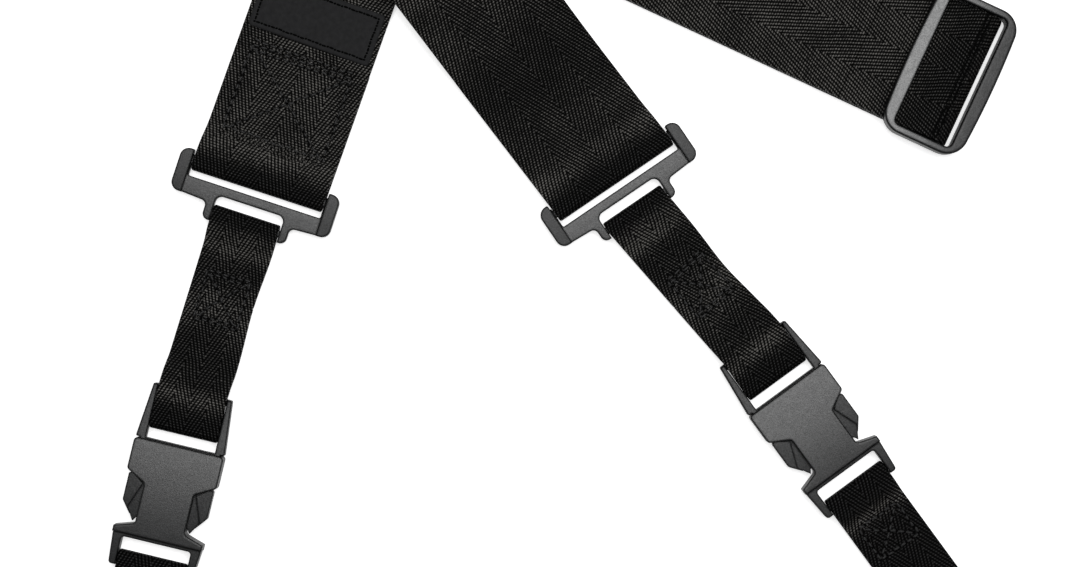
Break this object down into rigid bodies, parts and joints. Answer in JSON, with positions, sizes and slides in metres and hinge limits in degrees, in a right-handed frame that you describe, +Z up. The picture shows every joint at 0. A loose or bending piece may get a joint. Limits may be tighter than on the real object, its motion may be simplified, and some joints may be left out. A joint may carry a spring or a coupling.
{
  "type": "guitar strap",
  "caption": "Adjustable guitar strap of black nylon webbing, laid folded, with reducing loops, side-release buckles and eyelet tabs at its ends.",
  "frame": {"origin": "middle of the box round the laid-out strap, on the surface it lies on", "axes": "+Z up out of the surface, +Y towards the folds at the top, +X towards the tri-glide"},
  "size_m": [0.3464, 0.3858, 0.0118],
  "materials": {
    "wide_webbing": "black herringbone nylon webbing",
    "narrow_webbing": "black nylon webbing",
    "label": "flat black woven patch",
    "black_plastic": "satin grained acetal",
    "eyelet_metal": "nickel plated"
  },
  "bodies": {
    "main_webbing": {"main_webbing_left": "wide_webbing", "main_webbing_right": "wide_webbing", "label_patch": "label", "upper_slack_webbing": "wide_webbing", "end_slack_webbing": "wide_webbing", "lower_slack_webbing": "wide_webbing"},
    "tri_glide": {"tri_glide": "black_plastic", "slider_turn_webbing": "wide_webbing", "slider_end_loop": "wide_webbing"},
    "left_reducing_loop": {"left_reducing_loop": "black_plastic"},
    "left_link": {"left_link_webbing": "narrow_webbing"},
    "left_buckle_male": {"left_buckle_male": "black_plastic"},
    "left_prong_a": {"left_buckle_prong_a": "black_plastic"},
    "left_prong_b": {"left_buckle_prong_b": "black_plastic"},
    "left_buckle_female": {"left_buckle_female": "black_plastic"},
    "left_guitar_tab": {"left_guitar_tab": "narrow_webbing", "left_eyelet": "eyelet_metal", "left_eyelet_washer": "eyelet_metal"},
    "right_reducing_loop": {"right_reducing_loop": "black_plastic"},
    "right_link": {"right_link_webbing": "narrow_webbing"},
    "right_buckle_male": {"right_buckle_male": "black_plastic"},
    "right_prong_a": {"right_buckle_prong_a": "black_plastic"},
    "right_prong_b": {"right_buckle_prong_b": "black_plastic"},
    "right_buckle_female": {"right_buckle_female": "black_plastic"},
    "right_guitar_tab": {"right_guitar_tab": "narrow_webbing", "right_eyelet": "eyelet_metal", "right_eyelet_washer": "eyelet_metal"}
  },
  "joints": [
    {"name": "tri_glide_slide", "type": "slide", "parent": "main_webbing", "child": "tri_glide", "axis": [-0.907, 0.421, 0], "range_m": [0, 0.05], "deforming": ["upper_slack_webbing", "end_slack_webbing", "lower_slack_webbing"]},
    {"name": "left_loop_hinge", "type": "hinge", "parent": "main_webbing", "child": "left_reducing_loop", "pos_m": [-0.10513, 0.02243, 0.0036], "axis": [-0.95, 0.3123, 0], "range_deg": [-80, 80]},
    {"name": "left_link_hinge", "type": "hinge", "parent": "left_reducing_loop", "child": "left_link", "pos_m": [-0.11015, 0.00717, 0.0036], "axis": [0.95, -0.3123, 0], "range_deg": [-80, 80]},
    {"name": "left_buckle_hinge", "type": "hinge", "parent": "left_link", "child": "left_buckle_male", "pos_m": [-0.13242, -0.068, 0.00375], "axis": [-0.9724, 0.2334, 0], "range_deg": [0, 110]},
    {"name": "left_prong_a_squeeze", "type": "hinge", "parent": "left_buckle_male", "child": "left_prong_a", "pos_m": [-0.14602, -0.07541, 0.00375], "axis": [0, 0, 1], "range_deg": [0, 11], "stiffness_Nm_per_rad": 0.5},
    {"name": "left_prong_b_squeeze", "type": "hinge", "parent": "left_buckle_male", "child": "left_prong_b", "pos_m": [-0.12366, -0.08078, 0.00375], "axis": [0, 0, -1], "range_deg": [0, 11], "stiffness_Nm_per_rad": 0.5},
    {"name": "left_release_slide", "type": "slide", "parent": "left_buckle_male", "child": "left_buckle_female", "axis": [-0.2334, -0.9724, 0], "range_m": [0, 0.045], "deforming": ["left_buckle_prong_a", "left_buckle_prong_b"]},
    {"name": "left_tab_hinge", "type": "hinge", "parent": "left_buckle_female", "child": "left_guitar_tab", "pos_m": [-0.14462, -0.11881, 0.00375], "axis": [0.9724, -0.2334, 0], "range_deg": [-80, 80]},
    {"name": "right_loop_hinge", "type": "hinge", "parent": "main_webbing", "child": "right_reducing_loop", "pos_m": [0.02502, 0.02493, 0.0036], "axis": [-0.8271, -0.5621, 0], "range_deg": [-80, 80]},
    {"name": "right_link_hinge", "type": "hinge", "parent": "right_reducing_loop", "child": "right_link", "pos_m": [0.03405, 0.01164, 0.0036], "axis": [0.8271, 0.5621, 0], "range_deg": [-80, 80]},
    {"name": "right_buckle_hinge", "type": "hinge", "parent": "right_link", "child": "right_buckle_male", "pos_m": [0.08465, -0.04824, 0.00375], "axis": [-0.807, -0.5906, 0], "range_deg": [0, 110]},
    {"name": "right_prong_a_squeeze", "type": "hinge", "parent": "right_buckle_male", "child": "right_prong_a", "pos_m": [0.0815, -0.0634, 0.00375], "axis": [0, 0, 1], "range_deg": [0, 11], "stiffness_Nm_per_rad": 0.5},
    {"name": "right_prong_b_squeeze", "type": "hinge", "parent": "right_buckle_male", "child": "right_prong_b", "pos_m": [0.10006, -0.04982, 0.00375], "axis": [0, 0, -1], "range_deg": [0, 11], "stiffness_Nm_per_rad": 0.5},
    {"name": "right_release_slide", "type": "slide", "parent": "right_buckle_male", "child": "right_buckle_female", "axis": [0.5906, -0.807, 0], "range_m": [0, 0.045], "deforming": ["right_buckle_prong_a", "right_buckle_prong_b"]},
    {"name": "right_tab_hinge", "type": "hinge", "parent": "right_buckle_female", "child": "right_guitar_tab", "pos_m": [0.11551, -0.0904, 0.00375], "axis": [0.807, 0.5906, 0], "range_deg": [-80, 80]}
  ],
  "couplings": [
    {"joint": "left_prong_b_squeeze", "follows": "left_prong_a_squeeze", "ratio": 1},
    {"joint": "right_prong_b_squeeze", "follows": "right_prong_a_squeeze", "ratio": 1}
  ]
}
